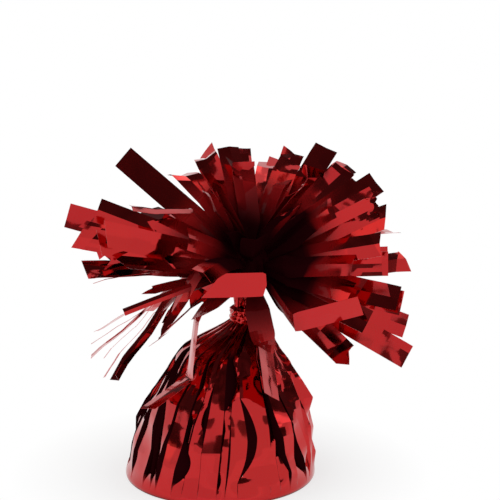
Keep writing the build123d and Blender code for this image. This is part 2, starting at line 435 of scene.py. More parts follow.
@dataclass(frozen=True)
class Strip:
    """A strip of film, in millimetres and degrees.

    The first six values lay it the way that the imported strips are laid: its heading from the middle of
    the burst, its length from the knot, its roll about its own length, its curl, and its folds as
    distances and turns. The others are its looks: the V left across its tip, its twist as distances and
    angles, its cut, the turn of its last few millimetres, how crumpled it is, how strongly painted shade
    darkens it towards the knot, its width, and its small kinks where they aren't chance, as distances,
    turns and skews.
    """

    azimuth: float
    elevation: float
    length: float
    roll: float = 0.0
    curl: float = 0.0
    folds: tuple[tuple[float, float], ...] = ()
    gutter: float = 6.0
    twist: tuple[tuple[float, float], ...] = ()
    cut: TipCut = TipCut.SQUARE
    tip_turn: float = 0.0
    crumple: float = 1.0
    # How strongly painted shade darkens the strip towards the knot.
    shade: float = 1.0
    width: float = 8.0
    kinks: tuple[tuple[float, float, float], ...] | None = None


SPRAYS: dict[str, list[Strip]] = {
    "left": [
        Strip(164.6, 12, 54.2, -70, 8, gutter=4, crumple=1.2),
        Strip(152, 3.5, 50, -60, 6),
        Strip(186, 12, 48, -75, 8, gutter=10, cut=TipCut.ASKEW_BACK),
        Strip(176.2, -1, 46.2, -62, 6, gutter=4, twist=((8, 0), (24, 32)), cut=TipCut.ASKEW),
    ],
    "left_front": [
        Strip(195, 29, 30, -30, gutter=4, twist=((4, 0), (12, -30)), cut=TipCut.POINT, kinks=(), crumple=0.5),
        Strip(199, 47, 40, -8, folds=((20, 44),), gutter=12, kinks=((32, -8, 20),), width=6),
        Strip(210, 19, 46, -78, 8, gutter=2, crumple=0.4, shade=0.8, cut=TipCut.ASKEW),
        Strip(224, 17, 30, -80, 6, gutter=8, cut=TipCut.POINT, shade=0.7),
    ],
    "left_droop": [
        Strip(193, -20.5, 50, folds=((18, 28),), gutter=34, cut=TipCut.ASKEW),
        Strip(180, -15, 53, folds=((22, 18),), gutter=3, width=4),
        Strip(166, -24, 50, 8, 10, gutter=3, width=4),
        Strip(215, -7, 38, -60, 30, gutter=10, crumple=0.4, width=2.4),
        Strip(203, -7.5, 30, -30, 8, gutter=12, cut=TipCut.POINT, width=3.4),
    ],
    "upper_left": [
        Strip(141.9, 28, 52.4, -57, gutter=1, kinks=(), crumple=0.1),
        Strip(125, 51, 38, -30, 30, gutter=18, tip_turn=50, cut=TipCut.ASKEW),
        Strip(152, 54, 34, -30, 40, gutter=14, tip_turn=40),
    ],
    "top": [
        Strip(
            110.5,
            34,
            42.5,
            -20,
            gutter=2,
            twist=((6, 0), (18, -52)),
            crumple=0.4,
            shade=1.4,
            kinks=((16, -3, 0),),
        ),
        Strip(93.8, 24, 56.5, 0, 4, gutter=4, twist=((6, 0), (16, 9)), shade=1.8),
        Strip(81.6, 30, 46.3, 5, 4, gutter=5, cut=TipCut.ASKEW, tip_turn=18, shade=1.8),
        Strip(69.8, 36, 39.5, 8, 4, gutter=10, cut=TipCut.ASKEW_BACK, tip_turn=-14, width=5.5, shade=1.8),
        Strip(57.6, 30, 46.6, 15, gutter=4, shade=1.8),
        Strip(52, 24, 49.8, 18, 6, gutter=10, tip_turn=12, shade=1.8),
    ],
    "upper_right": [
        Strip(26.4, 26, 42.2, 55, 10, gutter=8, crumple=1.4, shade=1.8),
        Strip(6, 29, 38, 65, 6, gutter=4, cut=TipCut.TEETH, crumple=1.4, shade=1.5),
        Strip(352, 27, 38, 70, 10, gutter=10, cut=TipCut.TEETH, crumple=2.0),
    ],
    "right": [
        Strip(328, 18, 40, 62, 8, gutter=12, crumple=0.8, shade=1.5),
        Strip(1, 3, 43, 70, 6, gutter=24, twist=((8, 0), (20, -7)), crumple=2.2, cut=TipCut.ASKEW),
        Strip(340, -6, 41, 64, 6, gutter=3, crumple=0.6, shade=1.5),
        Strip(314, 13, 32, 80, 6, gutter=12, twist=((4, 0), (12, -30)), shade=2.0),
    ],
    "right_droop": [
        Strip(8, -23, 48, 70, 6, gutter=4, crumple=0.6),
        Strip(
            351,
            -28,
            50,
            62,
            10,
            gutter=2,
            twist=((20, 0), (28, -10)),
            kinks=((14, 9, 15), (25, -15, -20)),
        ),
        Strip(
            324,
            -31,
            42,
            -120,
            gutter=2,
            twist=((6, -8),),
            cut=TipCut.POINT,
            crumple=0.1,
            kinks=((15, 8, 0), (24, 8, 0), (33, 9, 0)),
        ),
    ],
    "front": [
        Strip(
            297.4,
            -20.4,
            44.5,
            112.6,
            folds=((23, 70),),
            gutter=1,
            twist=((22, 0), (25, -8)),
            kinks=(),
            crumple=0.2,
        ),
        Strip(
            290,
            -8,
            24,
            -96,
            folds=((6.6, 105),),
            gutter=1,
            kinks=(),
            crumple=0.2,
            shade=0.0,
            cut=TipCut.BEVEL,
        ),
        Strip(273, 30, 26, 15, 25, gutter=18, shade=40.0),
        Strip(252, 24, 30, -25, 30, gutter=18, shade=4.0),
    ],
    "tail": [
        Strip(
            281,
            -44,
            38,
            16,
            folds=((8, 32), (18, -34)),
            gutter=2,
            twist=((14, 0), (21, -66)),
            kinks=(),
            crumple=0.2,
            shade=0.9,
        )
    ],
    "hanging": [
        Strip(
            226,
            -25,
            58,
            folds=((19, 55), (38.5, -64)),
            gutter=2,
            twist=((12, 0), (20, 32), (36, 32), (41, 14)),
            kinks=(),
            crumple=0.0,
            shade=0.5,
            width=7,
        )
    ],
    "back": [
        Strip(127, 8, 50, 0, 15),
        Strip(108, 4, 50, 0, 15, gutter=12),
        Strip(89, 8, 50, 0, 15, cut=TipCut.ASKEW),
        Strip(70, 4, 50, 0, 15, gutter=14),
        Strip(51, 8, 50, 0, 15, cut=TipCut.ASKEW_BACK),
        Strip(32, 4, 48, 0, 15, gutter=10),
    ],
    "back_low": [
        Strip(133, -14, 46, 0, 20, gutter=12),
        Strip(114, -18, 48, 0, 20, cut=TipCut.ASKEW),
        Strip(95, -14, 48, 0, 20, gutter=16),
        Strip(76, -18, 48, 0, 20),
        Strip(57, -14, 48, 0, 20, gutter=12, cut=TipCut.ASKEW_BACK),
        Strip(38, -18, 46, 0, 20),
    ],
    "crown": [
        Strip(60, 58, 34, 0, 10, gutter=14),
        Strip(112, 70, 32, 0, 10, gutter=18),
        Strip(215, 64, 30, 0, 10, gutter=16),
        Strip(330, 56, 32, 0, 10, gutter=14),
    ],
}

BETWEEN: dict[str, list[Strip]] = {
    "left": [
        Strip(159, 8, 43, -66, 6, gutter=8, cut=TipCut.ASKEW_BACK),
        Strip(193, 13, 42, -75, 6, gutter=6, cut=TipCut.ASKEW),
        Strip(179, 21, 44, -70, 8, gutter=10),
        Strip(172, 6, 43, -66, 8, gutter=6, cut=TipCut.POINT),
        Strip(168, 11, 49, -70, gutter=2, kinks=((39, 160, 45),), cut=TipCut.POINT),
    ],
    "left_front": [
        Strip(200, 10, 38, -70, 8, gutter=10, cut=TipCut.POINT),
        Strip(232, 30, 24, -70, 14, gutter=16),
        Strip(198, 2, 44, 10, 6, width=1.2),
    ],
    "left_droop": [
        Strip(165, -24, 58, folds=((29, 20),), width=1.2),
        Strip(158, -22, 58, folds=((29, 20),), width=1.0),
        Strip(176, -18, 50, 20, 16, width=1.0),
        Strip(202, -24, 34, 10, 6, width=1.6, cut=TipCut.POINT),
        Strip(
            213,
            4,
            36,
            -10,
            folds=((12, 66),),
            gutter=14,
            twist=((24, 0), (36, 14)),
            width=6,
            cut=TipCut.POINT,
        ),
    ],
    "upper_left": [
        Strip(120, 40, 34, 70, -14, width=1.2),
        Strip(138, 58, 28, -20, 36, gutter=16, cut=TipCut.POINT),
    ],
    "top": [
        Strip(114, 42, 26, -6, 6, gutter=10, cut=TipCut.ASKEW, shade=2.5),
        Strip(96.4, 32, 42, 0, 6, gutter=8, shade=1.8),
        Strip(78.5, 28, 46, 6, 6, gutter=6, cut=TipCut.ASKEW_BACK, shade=1.8),
        Strip(56, 26, 38, 8, folds=((27, -44),), gutter=2, crumple=0.4),
        Strip(44, 30, 42, 25, 6, gutter=8, shade=1.8),
        Strip(106, 24, 46, -12, 6, gutter=8, shade=1.8),
        Strip(82, 44, 28, 5, 8, gutter=14, shade=2.5),
        Strip(52, 44, 27, 12, 8, gutter=12, shade=2.5),
    ],
    "upper_right": [
        Strip(36, 27, 43, 35, 8, gutter=10, cut=TipCut.ASKEW),
        Strip(14, 36, 36, 50, 10, gutter=12, shade=2.0),
        Strip(0, 20, 38, 60, 8, gutter=8, cut=TipCut.ASKEW_BACK),
        Strip(338, 38, 28, 50, 12, gutter=16, shade=2.5),
    ],
    "right": [
        Strip(356, 3, 37, 68, 8, gutter=10, crumple=1.4),
        Strip(320, 2, 30, 46, 12, gutter=8, shade=2.0),
        Strip(14, 1, 40, 60, 8, gutter=8),
    ],
    "right_droop": [
        Strip(356, -13, 42, 70, 8, gutter=8, crumple=1.6),
        Strip(336, -18, 34, 60, 10, gutter=6, shade=1.2),
    ],
    "front": [
        Strip(262, 44, 22, -10, 24, gutter=20, shade=40.0),
        Strip(300, 46, 24, 20, 20, gutter=18, shade=40.0),
    ],
}

CHANCE_BETWEEN: dict[str, int] = {"back": 1, "back_low": 1, "crown": 2}


@dataclass(frozen=True)
class Fold:
    """A fold across a strip: its distance from the knot in metres, and its turn and its skew in radians."""

    distance: float
    turn: float
    skew: float

    def apply(self, points: np.ndarray, beyond: np.ndarray) -> None:
        """Turn the points that lie beyond the fold about its line, which lies in the flat strip."""
        line = np.array([math.sin(self.skew), math.cos(self.skew), 0.0])
        arm = points[beyond] - np.array([self.distance, 0.0, 0.0])
        along = np.outer(arm @ line, line)
        turned = (arm - along) * math.cos(self.turn) + np.cross(line, arm) * math.sin(self.turn)
        points[beyond] = along + turned + np.array([self.distance, 0.0, 0.0])


@dataclass
class Fringe:
    """The burst of film strips above the tie.

    Args:
        centre: The middle of the burst, which the strips radiate from.
        film: The strips' material.
    """

    centre: Vector
    film: bpy.types.Material
    knot_radius: float = 8.3 * MM
    inner_radius: float = 3.2 * MM
    fan_angle: float = 14.0
    thickness: float = 0.08 * MM
    step: float = 1.2 * MM
    across: int = 6
    teeth: int = 12
    curl_at: tuple[float, ...] = (0.36, 0.57, 0.78)
    kink_at: tuple[float, ...] = (0.24, 0.46, 0.68, 0.88)
    fold_skew: float = 6.0
    kink_skew: float = 34.0
    kink_turn: float = 11.0
    kink_shift: float = 0.08
    kink_spread: tuple[float, float] = (0.5, 1.2)
    tip_spread: tuple[float, float] = (0.8, 1.4)
    fold_gap: float = 3.5 * MM
    tip_length: float = 5.0 * MM
    pinch: float = 56.0
    pinch_reach: float = 7.0 * MM
    crumple_height: float = 0.14 * MM
    crumple_along: float = 6.0 * MM
    crumple_across: float = 4.0 * MM
    crumple_start: float = 0.3
    field_width: float = 40.0
    cut_depth: float = 1.6 * MM
    point_side: float = 0.3
    knot_shade_radius: float = 13.0 * MM
    knot_shade_fade: float = 24.0 * MM
    crease_angle: float = 5.0
    seed: int = 100

    def directions(self, strip: Strip) -> np.ndarray:
        """Unit vectors along a strip, across it and off its face, at its root, as rows."""
        azimuth, elevation = math.radians(strip.azimuth), math.radians(strip.elevation)
        level = np.array([math.cos(azimuth), math.sin(azimuth), 0.0])
        upright = np.array([0.0, 0.0, 1.0])
        along = level * math.cos(elevation) + upright * math.sin(elevation)
        lifted = upright * math.cos(elevation) - level * math.sin(elevation)
        roll = math.radians(strip.roll)
        facing = lifted * math.cos(roll) + np.cross(along, lifted) * math.sin(roll)
        return np.stack([along, np.cross(facing, along), facing])

    def folds(self, strip: Strip, draw: np.random.Generator) -> list[Fold]:
        """All folds of a strip, from the knot outwards.

        Args:
            strip: The strip.
            draw: Where the folds' skews and its chance kinks come from.

        Returns:
            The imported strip's own bends, its turned tip, and kinks to and fro wherever there is room.
        """
        length = strip.length * MM
        bends = [(distance * MM, turn, self.fold_skew) for distance, turn in strip.folds]
        if strip.curl:
            turn = strip.curl / len(self.curl_at)
            bends += [(length * share, turn, self.kink_skew) for share in self.curl_at]
        if strip.tip_turn:
            tip = self.tip_length * draw.uniform(*self.tip_spread)
            bends.append((length - tip, strip.tip_turn, self.kink_skew))
        if strip.kinks is None:
            way = draw.choice([-1.0, 1.0])
            for share in self.kink_at:
                distance = length * (share + draw.uniform(-self.kink_shift, self.kink_shift))
                turn = way * self.kink_turn * strip.crumple * draw.uniform(*self.kink_spread)
                if all(abs(distance - bend[0]) > self.fold_gap for bend in bends):
                    bends.append((distance, turn, self.kink_skew))
                    way = -way
        made = [
            Fold(distance, math.radians(turn), math.radians(skew * draw.uniform(-1.0, 1.0)))
            for distance, turn, skew in sorted(bends)
        ]
        for distance, turn, skew in strip.kinks or ():
            made.append(Fold(distance * MM, math.radians(turn), math.radians(skew)))
        return sorted(made, key=lambda fold: fold.distance)

    def cut(self, strip: Strip, side: np.ndarray, draw: np.random.Generator) -> np.ndarray:
        """How much shorter than its full length a strip is at each place across it, from -1 to 1."""
        if strip.cut is TipCut.POINT:
            return self.cut_depth * strip.cut.value * np.abs(side - self.point_side)
        if strip.cut is TipCut.TEETH:
            notches = draw.uniform(0.0, 1.0, self.teeth + 1)
            return self.cut_depth * notches[np.round((side + 1.0) / 2.0 * self.teeth).astype(int)]
        return self.cut_depth * strip.cut.value * side

    def shape(
        self, strip: Strip, seed: int, share: np.ndarray, side: np.ndarray
    ) -> tuple[np.ndarray, np.ndarray]:
        """Where each point of a flat grid goes on a strip.

        Args:
            strip: The strip.
            seed: The seed of its chance folds and creases.
            share: How far along the strip each point lies, from 0 to 1.
            side: How far across, from -1 to 1.

        Returns:
            The points' places, and how much painted shade each takes.
        """
        draw = np.random.default_rng(seed)
        folds = self.folds(strip, draw)
        length, root = strip.length * MM, self.inner_radius - self.knot_radius
        rows = np.linspace(root, length, self.rows(strip) + 1)
        for fold in folds:
            rows[1 + np.argmin(np.abs(rows[1:-1] - fold.distance))] = fold.distance
        reach = rows[np.round(share * (len(rows) - 1)).astype(int)]

        radius = reach + self.knot_radius
        half = np.minimum(radius * math.tan(math.radians(self.fan_angle)), strip.width * MM / 2.0)
        places = [root, *(fold.distance for fold in folds), length]
        skews = np.interp(reach, places, [0.0, *(math.tan(fold.skew) for fold in folds), 0.0])
        tip = ease((reach - length + self.tip_length) / self.tip_length)
        x = reach + side * half * skews - tip * self.cut(strip, side, draw)

        fade = np.exp(-(reach - root) / self.pinch_reach)
        lean = draw.choice([-1.0, 1.0])
        gutter = np.radians(lean * (self.pinch * fade + strip.gutter * (1.0 - fade)))
        start = draw.uniform(0.0, self.field_width)
        lift = CreaseField(seed)(reach / self.crumple_along + start, side * half / self.crumple_across)
        lift *= self.crumple_height * strip.crumple * ease(reach / (self.crumple_start * length))
        y, z = side * half * np.cos(gutter), np.abs(side) * half * np.sin(gutter) + lift
        distances, angles = zip((0.0, 0.0), *strip.twist)
        turn = np.radians(np.interp(reach / MM, distances, angles))
        cosine, sine = np.cos(turn), np.sin(turn)
        points = np.stack([x, y * cosine - z * sine, y * sine + z * cosine], axis=1)
        for fold in reversed(folds):
            fold.apply(points, reach > fold.distance)
        points[:, 0] += self.knot_radius
        # Painted shade: each strip goes nearly black near the knot and clears towards its tip, so the burst's
        # middle reads dark.
        tuck = np.minimum(strip.shade * (1.0 - ease((radius - self.knot_shade_radius) / self.knot_shade_fade)), 1.0)
        return points @ self.directions(strip) + np.array(self.centre), tuck

    def rows(self, strip: Strip) -> int:
        """How many faces a strip has along it."""
        return round((strip.length * MM + self.knot_radius - self.inner_radius) / self.step)

    def columns(self, strip: Strip) -> int:
        """How many faces a strip has across it."""
        return self.teeth if strip.cut is TipCut.TEETH else self.across

    def make(self, name: str, strip: Strip, seed: int) -> bpy.types.Object:
        """Make one strip.

        Args:
            name: The piece's name.
            strip: The strip.
            seed: The seed of its chance folds and creases.

        Returns:
            The piece, with no material yet.
        """
        piece = Bench.grid(name, self.rows(strip), self.columns(strip))
        share, side = Bench.shares(piece)
        points, tuck = self.shape(strip, seed, share, 2.0 * side - 1.0)
        Bench.move(piece, points)
        Bench.mark(piece, tuck, "POINT")
        Bench.finish(piece, self.thickness, 0.0, self.crease_angle)
        return piece

    def seat(self, piece: bpy.types.Object, spray: str) -> None:
        """Dress a piece in film and set it on its spray."""
        piece.data.materials.append(self.film)
        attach(piece, f"{spray}_spray")
        LOG.info("%s", piece.name)

    def filler(self, strip: Strip, draw: np.random.Generator) -> Strip:
        """A shorter strip of the same sheet that lies askew between a packed strip and its neighbours."""
        return replace(
            strip,
            azimuth=strip.azimuth + draw.uniform(-9.0, 9.0),
            elevation=strip.elevation + draw.uniform(-8.0, 8.0),
            length=strip.length * draw.uniform(0.74, 0.93),
            roll=strip.roll + draw.uniform(-28.0, 28.0),
            curl=strip.curl + draw.uniform(-10.0, 14.0),
            gutter=draw.uniform(0.0, 20.0),
            cut=draw.choice([TipCut.SQUARE, TipCut.ASKEW, TipCut.ASKEW_BACK, TipCut.POINT]),
            tip_turn=draw.uniform(-30.0, 30.0),
            crumple=draw.uniform(0.7, 1.6),
        )

    def build(self) -> None:
        """Make every strip that stands for a packed one, and those that lie between."""
        seed = self.seed
        for spray, strips in SPRAYS.items():
            for number, strip in enumerate(strips, start=1):
                seed += 1
                node = f"{spray}_strip_{number}"
                piece = self.make(f"film_{node}", strip, seed)
                self.seat(piece, spray)
                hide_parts(node)
            draw = np.random.default_rng(seed)
            fillers = CHANCE_BETWEEN.get(spray, 0)
            between = [self.filler(strip, draw) for strip in strips for _ in range(fillers)]
            between += BETWEEN.get(spray, [])
            if between:
                made = [
                    self.make(f"film_{spray}_between_{number}", strip, seed * 100 + number)
                    for number, strip in enumerate(between)
                ]
                self.seat(Bench.join(f"film_{spray}_between", made), spray)


@dataclass(frozen=True)
class Pleat:
    """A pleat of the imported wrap, or one of the finer creases between them, in degrees and millimetres.

    The angle is its ridge's, from the front towards the right, at the height where its tuck is widest.
    The tuck runs from the ridge to a valley on one side, and closes to a slit over its reach above and
    below that height. The slant turns the ridge as it rises, the bow curves it, and the flap stands it
    off the body.
    """

    angle: float
    width: float
    height: float
    reach: float
    depth: float
    leftward: bool = False
    slant: float = 0.0
    bow: float = 0.0
    flap: float = 0.0


PLEATS: tuple[Pleat, ...] = (
    Pleat(-178, 2.2, 19, 12, 1.6),
    Pleat(-165, 4.4, 27, 12, 2.0, slant=2),
    Pleat(-149, 1.4, 14, 9, 1.2, leftward=True),
    Pleat(-141, 2.6, 24, 13, 1.8),
    Pleat(-129, 4.0, 13, 8, 2.0, slant=-3),
    Pleat(-115, 1.6, 32, 10, 1.4, leftward=True),
    Pleat(-107, 3.4, 21, 12, 1.8),
    Pleat(-95, 1.4, 28, 9, 1.2),
    Pleat(-82, 2.4, 20, 12, 1.6, leftward=True, slant=-4),
    Pleat(-64, 3.2, 27, 13, 2.0, slant=-8),
    Pleat(-42, 1.2, 13, 10, 1.0),
    Pleat(-29, 4.6, 12, 7, 2.0, slant=2),
    Pleat(-13, 1.6, 28, 9, 1.4, leftward=True),
    Pleat(-3, 3.4, 38, 9, 1.8, slant=-1),
    Pleat(10, 4.2, 20, 13, 2.0, bow=5.5),
    Pleat(31, 1.4, 25, 9, 1.2),
    Pleat(41, 2.4, 22, 14, 1.8, leftward=True, slant=-4),
    Pleat(57, 2.8, 15, 10, 1.8, leftward=True, slant=-8),
    Pleat(70, 1.4, 26, 15, 1.2),
    Pleat(84, 5.0, 27, 10, 1.2, flap=3.6),
    Pleat(109, 2.4, 24, 11, 1.6),
    Pleat(121, 3.8, 16, 10, 2.0, slant=3),
    Pleat(135, 1.4, 30, 9, 1.2, leftward=True),
    Pleat(145, 4.2, 22, 12, 2.0),
    Pleat(160, 1.6, 12, 8, 1.4, leftward=True),
    Pleat(168, 3.0, 34, 10, 1.8, slant=-2),
)


CREASES: tuple[Pleat, ...] = (
    Pleat(-155, 0.9, 20, 10, 0.9),
    Pleat(-88, 0.8, 13, 9, 0.8),
    Pleat(-73, 1.0, 15, 10, 0.9, slant=-3),
    Pleat(-53, 0.9, 20, 13, 0.9, slant=-5),
    Pleat(-21, 0.9, 24, 12, 0.9, leftward=True, slant=2),
    Pleat(3, 0.8, 15, 10, 0.8),
    Pleat(36, 0.9, 13, 9, 0.9, slant=-3),
    Pleat(49, 0.8, 28, 9, 0.8, slant=-4),
    Pleat(63, 0.9, 17, 11, 0.9, slant=-6),
    Pleat(77, 0.8, 14, 9, 0.8),
    Pleat(97, 0.9, 18, 10, 0.9),
    Pleat(128, 0.9, 22, 10, 0.9),
)


@dataclass
class FilmWrap:
    """The film pulled up round the core: a flat floor, a smooth foot, irregular pleats and a gathered neck.

    Args:
        film: The wrap's material.
    """

    film: bpy.types.Material
    pleats: tuple[Pleat, ...] = tuple(sorted((*PLEATS, *CREASES), key=lambda pleat: pleat.angle))
    courses: tuple[tuple[float, float], ...] = (
        (1.5, 31.0),
        (17.0, 28.7),
        (26.0, 25.5),
        (35.0, 20.3),
        (43.0, 16.0),
        (49.0, 9.0),
        (52.5, 4.3),
        (57.0, 4.0),
    )
    foot_radius: float = 30.2
    slope: tuple[float, float] = (43.0, 3.5)
    neck: tuple[float, float] = (52.5, 8.8)
    tuck_columns: int = 4
    face_columns: int = 7
    floor_rows: int = 8
    foot_rows: int = 4
    wall_rows: int = 100
    slit_turn: float = 0.6
    slant_rise: float = 10.0
    ridge_rise: float = 0.2
    flap_above: float = 22.0
    flap_below: float = 6.0
    smooth_height: float = 1.5
    swell: float = 7.0
    gather_height: float = 38.0
    gather_rise: float = 12.0
    neck_share: float = 0.4
    blur: float = 3.0
    blur_share: float = 0.5
    blur_steps: int = 9
    wander: float = 0.4
    wander_length: tuple[float, float] = (5.0, 9.0)
    dent: float = 1.0
    dent_rise: float = 6.0
    facet_height: float = 36.0
    facet_rise: float = 6.0
    girth_radius: float = 24.0
    crumple: float = 0.12
    wide_cell: tuple[float, float] = (5.0, 20.0)
    fine_crumple: float = 0.02
    fine_cell: tuple[float, float] = (2.4, 3.6)
    shoulder_crumple: float = 0.2
    shoulder_height: float = 30.0
    shoulder_rise: float = 8.0
    floor_share: float = 0.1
    calm_height: float = 1.5
    least_radius: float = 8.0
    # Painted shade: how fast the tuck faces go dark as the pleats grow, and how dark the foot's bottom rim is
    # painted.
    fold_shade_gain: float = 1.4
    thickness: float = 0.08 * MM
    rim_height: float = 1.2
    rim_shade: float = 0.8
    crease_angle: float = 7.0
    seed: int = 11

    def lean(self, height: np.ndarray) -> np.ndarray:
        """How far towards +X the wrap's middle lies at each height, in millimetres."""
        return np.interp(height, [0.0, self.slope[0], self.neck[0]], [0.0, self.slope[1], self.neck[1]])

    def radius(self, height: np.ndarray) -> np.ndarray:
        """The wrap's mean radius at each height, in millimetres, with its courses run together."""
        heights, radii = zip(*self.courses)
        blur = np.minimum(self.blur, self.blur_share * height)
        shifts = np.linspace(-1.0, 1.0, self.blur_steps)
        return np.mean([np.interp(height + blur * shift, heights, radii) for shift in shifts], axis=0)

    def rows(self) -> tuple[np.ndarray, np.ndarray]:
        """Heights and radii of the rows, from the middle of the floor up to the neck, in millimetres."""
        floor = np.linspace(0.0, self.foot_radius, self.floor_rows + 1)
        turn = np.linspace(0.0, math.pi / 2.0, self.foot_rows + 2)[1:-1]
        first, top = self.courses[0][0], self.courses[-1][0]
        rim = self.courses[0][1] - self.foot_radius
        wall = np.linspace(first, top, self.wall_rows + 1)
        heights = np.concatenate([0.0 * floor, first * (1.0 - np.cos(turn)), wall])
        radii = np.concatenate([floor, self.foot_radius + rim * np.sin(turn), self.radius(wall)])
        return heights, radii

    def grown(self, height: np.ndarray) -> np.ndarray:
        """How far the pleats have grown at each height: none on the smooth foot, less again at the neck."""
        gathered = (1.0 - self.neck_share) * ease((height - self.gather_height) / self.gather_rise)
        return ease((height - self.smooth_height) / self.swell) * (1.0 - gathered)

    def lines(self, heights: np.ndarray, radii: np.ndarray) -> tuple[np.ndarray, np.ndarray]:
        """Where the two lines of each pleat run, in order round the wrap.

        Args:
            heights: The rows' heights in millimetres.
            radii: The rows' radii in millimetres.

        Returns:
            The lines' angles in radians and their radii in millimetres, one row for each line.
        """
        draw = np.random.default_rng(self.seed + 1)
        grown = self.grown(heights)
        angles, reaches = [], []
        for pleat in self.pleats:
            above = np.clip(heights - pleat.height, -pleat.reach, pleat.reach)
            gape = 1.0 - (above / pleat.reach) ** 2
            widest = math.degrees(pleat.width / float(self.radius(np.array([pleat.height]))[0]))
            tuck = self.slit_turn + (widest - self.slit_turn) * gape
            wave = heights / draw.uniform(*self.wander_length) + draw.uniform(0.0, PHASE)
            bent = pleat.slant * above / self.slant_rise + pleat.bow * gape
            ridge = np.radians(pleat.angle + bent + self.wander * np.sin(wave))
            valley = ridge + (-1.0 if pleat.leftward else 1.0) * np.radians(tuck)
            fall = np.where(heights > pleat.height, self.flap_above, self.flap_below)
            flap = pleat.flap * np.maximum(0.0, 1.0 - np.abs(heights - pleat.height) / fall)
            knots = np.arange(-self.dent_rise, heights[-1] + self.dent_rise, self.dent_rise)
            knots = knots + draw.uniform(0.0, self.dent_rise)
            dented = self.radius(knots) + draw.uniform(-self.dent, self.dent, len(knots))
            kept = 1.0 - ease((heights - self.facet_height) / self.facet_rise)
            facets = (np.interp(heights, knots, dented) - radii) * kept
            top = radii + grown * (self.ridge_rise + flap + facets)
            low = radii - grown * (pleat.depth * (1.0 + gape) / 2.0 - facets)
            pair = [(ridge, top), (valley, low)]
            for angle, reach in reversed(pair) if pleat.leftward else pair:
                angles.append(angle)
                reaches.append(reach)
        return np.maximum.accumulate(np.array(angles), axis=0), np.array(reaches)

    def spots(self, around: np.ndarray, count: int) -> tuple[np.ndarray, np.ndarray]:
        """Which line each place round the wrap lies after, and its share of the way to the next line."""
        tuck = self.tuck_columns / (self.tuck_columns + self.face_columns)
        spot = around * count
        pleat = np.minimum(np.floor(spot + NUDGE).astype(int), count - 1)
        share = spot - pleat
        tucked = share < tuck - NUDGE
        return 2 * pleat + ~tucked, np.where(tucked, share / tuck, (share - tuck) / (1.0 - tuck))

    def build(self) -> None:
        """Make the wrap and set it on the weight."""
        heights, radii = self.rows()
        count, last = len(self.pleats), len(heights) - 1
        piece = Bench.grid("film_wrap", count * (self.tuck_columns + self.face_columns), last)
        around, up = Bench.shares(piece)
        face_around, face_up = Bench.shares(piece, faces=True)
        angles, reaches = self.lines(heights, radii)
        angles = np.vstack([angles, angles[:1] + 2.0 * math.pi])
        reaches = np.vstack([reaches, reaches[:1]])

        row = np.round(up * last).astype(int)
        line, share = self.spots(around, count)
        height, x, y = heights[row], np.sin(angles) * reaches, -np.cos(angles) * reaches
        flat_x = x[line, row] * (1.0 - share) + x[line + 1, row] * share
        flat_y = y[line, row] * (1.0 - share) + y[line + 1, row] * share
        angle = angles[line, row] * (1.0 - share) + angles[line + 1, row] * share
        arc = reaches[line, row] * (1.0 - share) + reaches[line + 1, row] * share

        girth = angle * self.girth_radius
        away = ease(np.minimum(around, 1.0 - around) * count)
        grown = self.grown(height) * away
        wide, fine = CreaseField(self.seed), CreaseField(self.seed + 1)
        crushed = ease((height - self.shoulder_height) / self.shoulder_rise)
        crushed = self.fine_crumple + self.shoulder_crumple * crushed
        spread = self.floor_share + (1.0 - self.floor_share) * grown
        lift = grown * self.crumple * wide(girth / self.wide_cell[0], height / self.wide_cell[1])
        lift += spread * away * crushed * fine(girth / self.fine_cell[0], height / self.fine_cell[1])
        scale = 1.0 + lift * ease(height / self.calm_height) / np.maximum(radii[row], self.least_radius)
        scale += (1.0 - grown) * (arc / np.maximum(np.hypot(flat_x, flat_y), 0.01) - 1.0)
        points = np.stack([self.lean(height) + flat_x * scale, flat_y * scale, height], axis=1)

        face_line, _ = self.spots(face_around, count)
        face_height = np.interp(face_up * last, np.arange(last + 1), heights)
        # Painted shade: the tuck faces of each pleat go dark as the pleats grow, and the bottom rim of the
        # foot is darkened.
        tucked = (face_line % 2 == 0) * np.clip(self.fold_shade_gain * self.grown(face_height), 0.0, 1.0)
        rim = self.rim_shade * (1.0 - ease(face_height / self.rim_height))
        Bench.mark(piece, np.maximum(tucked, rim), "FACE")
        Bench.move(piece, points * MM)
        Bench.weld(piece)
        Bench.finish(piece, self.thickness, -1.0, self.crease_angle)
        piece.data.materials.append(self.film)
        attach(piece, Body.WEIGHT.value)
        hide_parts("foil_wrap")
        LOG.info("wrap with %d pleats", count)


